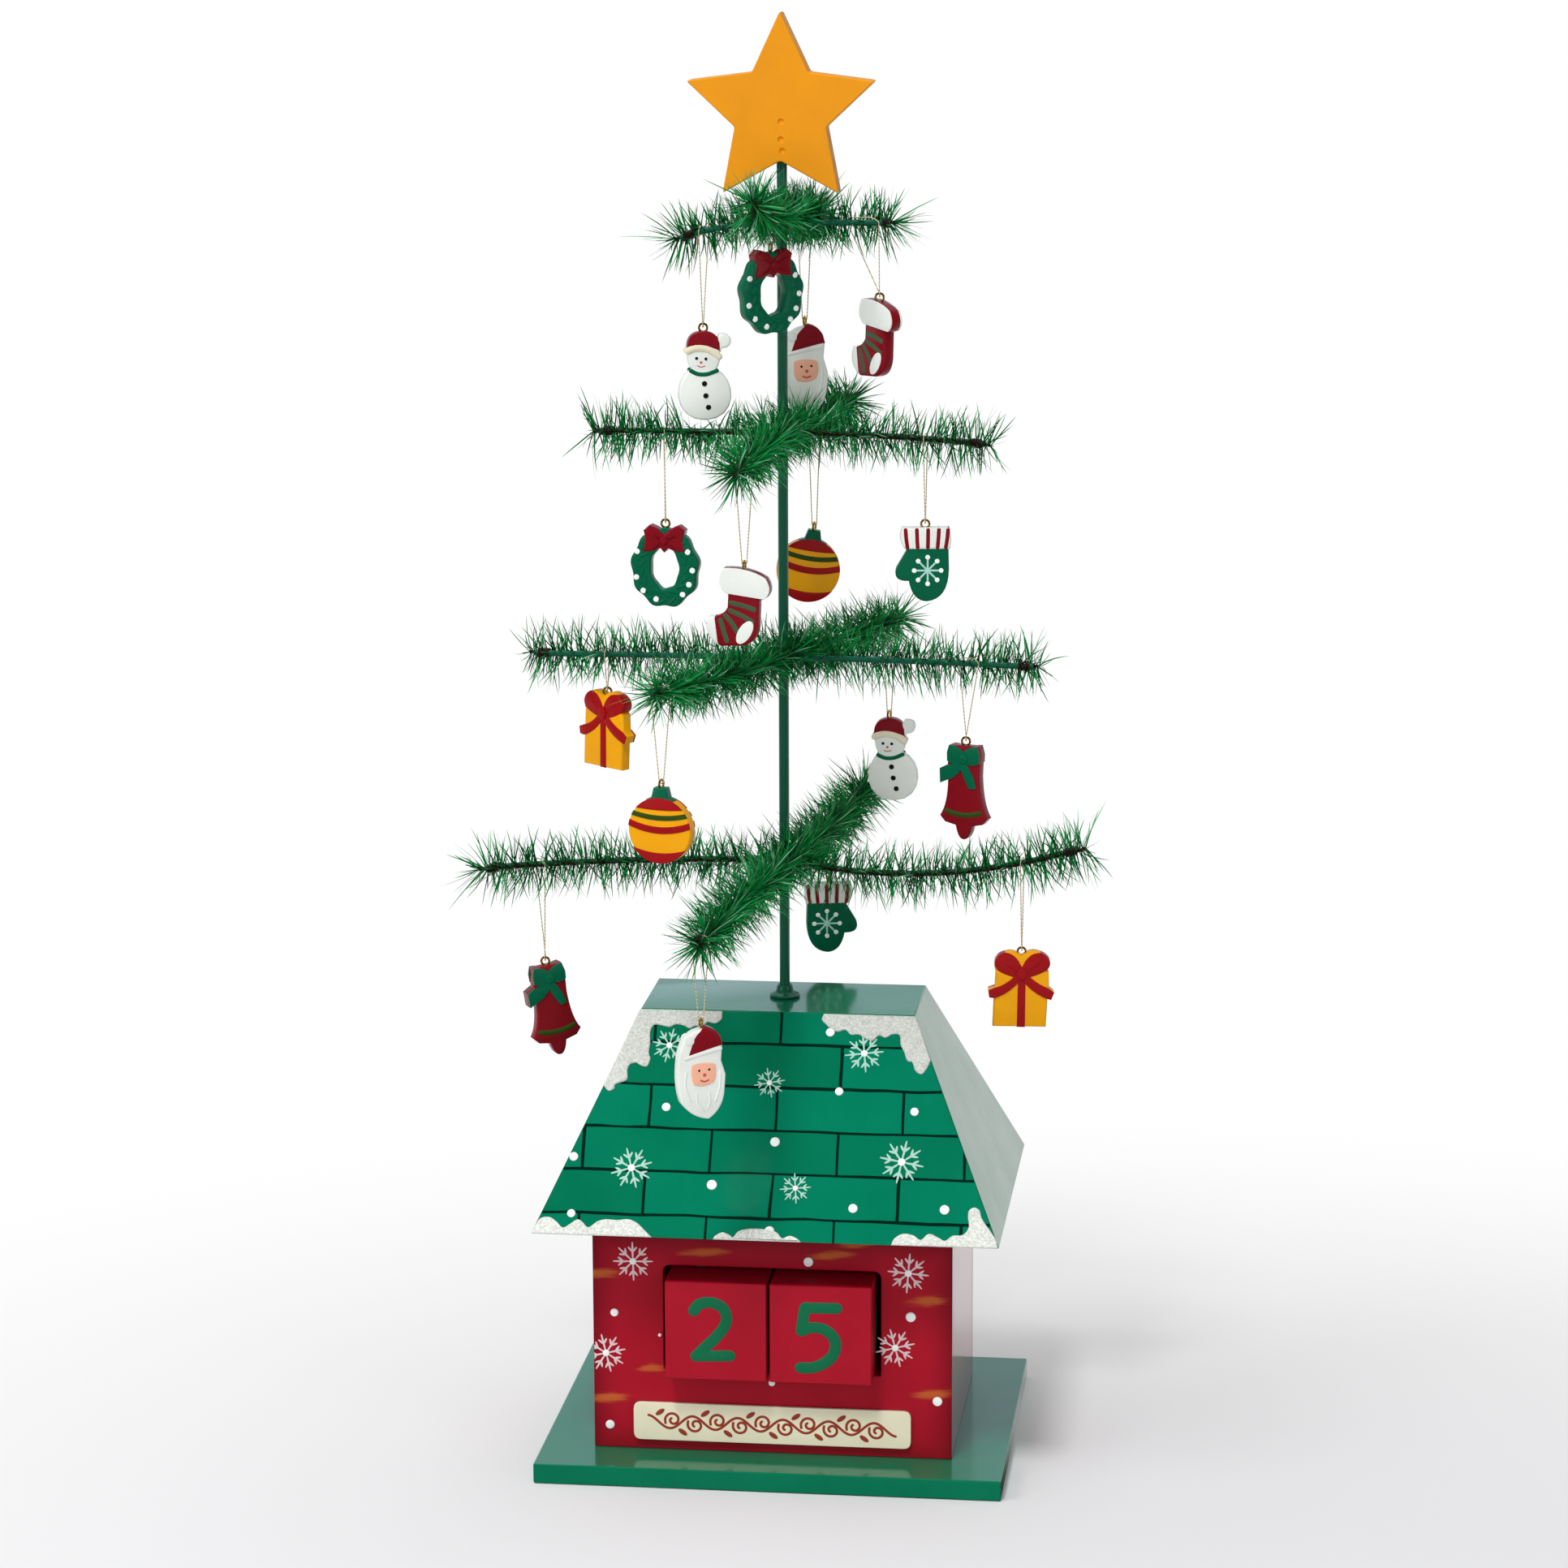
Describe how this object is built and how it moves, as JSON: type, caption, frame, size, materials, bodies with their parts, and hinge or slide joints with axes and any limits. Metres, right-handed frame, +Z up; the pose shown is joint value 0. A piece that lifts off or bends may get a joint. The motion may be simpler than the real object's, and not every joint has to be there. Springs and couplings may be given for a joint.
{
  "type": "advent calendar",
  "caption": "Painted wooden house with two number blocks in a front recess and a metal tree on its roof, hung with small wooden ornaments.",
  "frame": {"origin": "centre of the base board's underside", "axes": "+Z up along the trunk, -Y out of the front with the number blocks, +X to the right seen from the front"},
  "size_m": [0.262, 0.2659, 0.5673],
  "materials": {
    "green_paint": "gloss green enamel on wood",
    "crimson_paint": "gloss crimson enamel on wood",
    "plaque_paint": "satin cream paint on wood",
    "block_paint": "satin crimson paint on wood",
    "star_paint": "satin yellow paint on wood",
    "green_metal": "gloss green enamel",
    "garland_needles": "cut plastic needles on twisted wire",
    "thread": "gold thread",
    "ornament_white": "gloss white paint on wood",
    "ornament_crimson": "gloss crimson paint on wood",
    "ornament_green": "gloss green paint on wood",
    "ornament_gold": "gloss yellow paint on wood"
  },
  "bodies": {
    "house": {"base_board": "green_paint", "front_wall": "crimson_paint", "back_wall": "crimson_paint", "left_wall": "crimson_paint", "right_wall": "crimson_paint", "block_tray": "crimson_paint", "sign_plaque": "plaque_paint", "roof_front": "green_paint", "roof_right": "green_paint", "roof_back": "green_paint", "roof_left": "green_paint", "roof_soffit": "green_paint", "roof_cap": "green_paint", "trunk_flange": "green_metal"},
    "number_block_left": {"number_block_left": "block_paint"},
    "number_block_right": {"number_block_right": "block_paint"},
    "tree": {"trunk_rod": "green_metal", "star": "star_paint", "tier1_arm_rods": "green_metal", "tier1_garland": "garland_needles", "tier2_arm_rods": "green_metal", "tier2_garland": "garland_needles", "tier3_arm_rods": "green_metal", "tier3_garland": "garland_needles", "tier4_arm_rods": "green_metal", "tier4_garland": "garland_needles"},
    "tier1_left": {"tier1_left_snowman": "ornament_white", "tier1_left_thread": "thread"},
    "tier1_right": {"tier1_right_stocking": "ornament_crimson", "tier1_right_thread": "thread"},
    "tier1_front": {"tier1_front_wreath": "ornament_green", "tier1_front_thread": "thread"},
    "tier1_back": {"tier1_back_santa": "ornament_white", "tier1_back_thread": "thread"},
    "tier2_left": {"tier2_left_wreath": "ornament_green", "tier2_left_thread": "thread"},
    "tier2_right": {"tier2_right_mitten": "ornament_green", "tier2_right_thread": "thread"},
    "tier2_front": {"tier2_front_stocking": "ornament_crimson", "tier2_front_thread": "thread"},
    "tier2_back": {"tier2_back_ball": "ornament_gold", "tier2_back_thread": "thread"},
    "tier3_left": {"tier3_left_gift": "ornament_gold", "tier3_left_thread": "thread"},
    "tier3_right": {"tier3_right_bell": "ornament_crimson", "tier3_right_thread": "thread"},
    "tier3_front": {"tier3_front_ball": "ornament_gold", "tier3_front_thread": "thread"},
    "tier3_back": {"tier3_back_snowman": "ornament_white", "tier3_back_thread": "thread"},
    "tier4_left": {"tier4_left_bell": "ornament_crimson", "tier4_left_thread": "thread"},
    "tier4_right": {"tier4_right_gift": "ornament_gold", "tier4_right_thread": "thread"},
    "tier4_front": {"tier4_front_santa": "ornament_white", "tier4_front_thread": "thread"},
    "tier4_back": {"tier4_back_mitten": "ornament_green", "tier4_back_thread": "thread"}
  },
  "joints": [
    {"name": "left_block_slide", "type": "slide", "parent": "house", "child": "number_block_left", "axis": [0, -1, 0], "range_m": [0, 0.045]},
    {"name": "right_block_slide", "type": "slide", "parent": "house", "child": "number_block_right", "axis": [0, -1, 0], "range_m": [0, 0.045]},
    {"name": "tree_turn", "type": "hinge", "parent": "house", "child": "tree", "pos_m": [0, -0.005, 0.182], "axis": [0, 0, 1], "range_deg": [-180, 180]},
    {"name": "tier1_left_swing", "type": "hinge", "parent": "tree", "child": "tier1_left", "pos_m": [-0.031, -0.00395, 0.48421], "axis": [-1, 0, 0], "range_deg": [-20, 20]},
    {"name": "tier1_right_swing", "type": "hinge", "parent": "tree", "child": "tier1_right", "pos_m": [0.0375, -0.00395, 0.488], "axis": [1, 0, 0], "range_deg": [-20, 20]},
    {"name": "tier1_front_swing", "type": "hinge", "parent": "tree", "child": "tier1_front", "pos_m": [-0.00251, -0.02185, 0.4899], "axis": [-0.2079, -0.9781, 0], "range_deg": [-20, 20]},
    {"name": "tier1_back_swing", "type": "hinge", "parent": "tree", "child": "tier1_back", "pos_m": [0.00564, 0.02092, 0.488], "axis": [0.1736, 0.9848, 0], "range_deg": [-20, 20]},
    {"name": "tier2_left_swing", "type": "hinge", "parent": "tree", "child": "tier2_left", "pos_m": [-0.046, -0.00605, 0.407], "axis": [-1, 0, 0], "range_deg": [-20, 20]},
    {"name": "tier2_right_swing", "type": "hinge", "parent": "tree", "child": "tier2_right", "pos_m": [0.0555, -0.00605, 0.40523], "axis": [1, 0, 0], "range_deg": [-20, 20]},
    {"name": "tier2_front_swing", "type": "hinge", "parent": "tree", "child": "tier2_front", "pos_m": [-0.00745, -0.06555, 0.40369], "axis": [-0.1392, -0.9903, 0], "range_deg": [-20, 20]},
    {"name": "tier2_back_swing", "type": "hinge", "parent": "tree", "child": "tier2_back", "pos_m": [0.0083, 0.02902, 0.40765], "axis": [0.2079, 0.9781, 0], "range_deg": [-20, 20]},
    {"name": "tier3_left_swing", "type": "hinge", "parent": "tree", "child": "tier3_left", "pos_m": [-0.07, -0.00395, 0.3185], "axis": [-1, 0, 0], "range_deg": [-20, 20]},
    {"name": "tier3_right_swing", "type": "hinge", "parent": "tree", "child": "tier3_right", "pos_m": [0.0715, -0.00395, 0.31741], "axis": [1, 0, 0], "range_deg": [-20, 20]},
    {"name": "tier3_front_swing", "type": "hinge", "parent": "tree", "child": "tier3_front", "pos_m": [-0.03536, -0.09533, 0.32127], "axis": [-0.3746, -0.9272, 0], "range_deg": [-20, 20]},
    {"name": "tier3_back_swing", "type": "hinge", "parent": "tree", "child": "tier3_back", "pos_m": [0.03297, 0.0825, 0.3185], "axis": [0.342, 0.9397, 0], "range_deg": [-20, 20]},
    {"name": "tier4_left_swing", "type": "hinge", "parent": "tree", "child": "tier4_left", "pos_m": [-0.096, -0.00605, 0.2336], "axis": [-1, 0, 0], "range_deg": [-20, 20]},
    {"name": "tier4_right_swing", "type": "hinge", "parent": "tree", "child": "tier4_right", "pos_m": [0.094, -0.00605, 0.23853], "axis": [1, 0, 0], "range_deg": [-20, 20]},
    {"name": "tier4_front_swing", "type": "hinge", "parent": "tree", "child": "tier4_front", "pos_m": [-0.01742, -0.12171, 0.23282], "axis": [-0.1564, -0.9877, 0], "range_deg": [-20, 20]},
    {"name": "tier4_back_swing", "type": "hinge", "parent": "tree", "child": "tier4_back", "pos_m": [0.0105, 0.05814, 0.23864], "axis": [0.1478, 0.989, 0], "range_deg": [-20, 20]}
  ]
}
